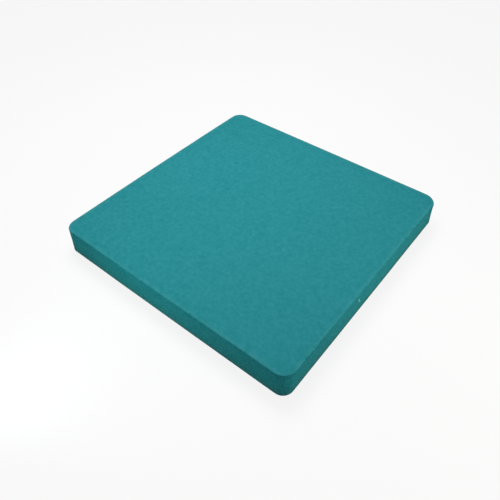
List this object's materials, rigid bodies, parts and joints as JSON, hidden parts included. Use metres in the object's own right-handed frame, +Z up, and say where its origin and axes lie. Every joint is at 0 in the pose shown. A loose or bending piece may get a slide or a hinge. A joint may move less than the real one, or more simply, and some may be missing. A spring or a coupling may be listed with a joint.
{
  "type": "floral foam pad",
  "caption": "Thin square pad of fine dense foam with rounded corners, a soft work surface for pinning, cutting and shaping flowers.",
  "frame": {"origin": "centre of the underside, in the plane that the pad rests on", "axes": "+Z up out of the working face, X and Y along the sides of the square"},
  "size_m": [0.18, 0.18, 0.02],
  "materials": {
    "foam": "matt fine-celled teal foam, skived faces and cut edges"
  },
  "bodies": {
    "root": {"foam_pad": "foam"}
  },
  "joints": []
}
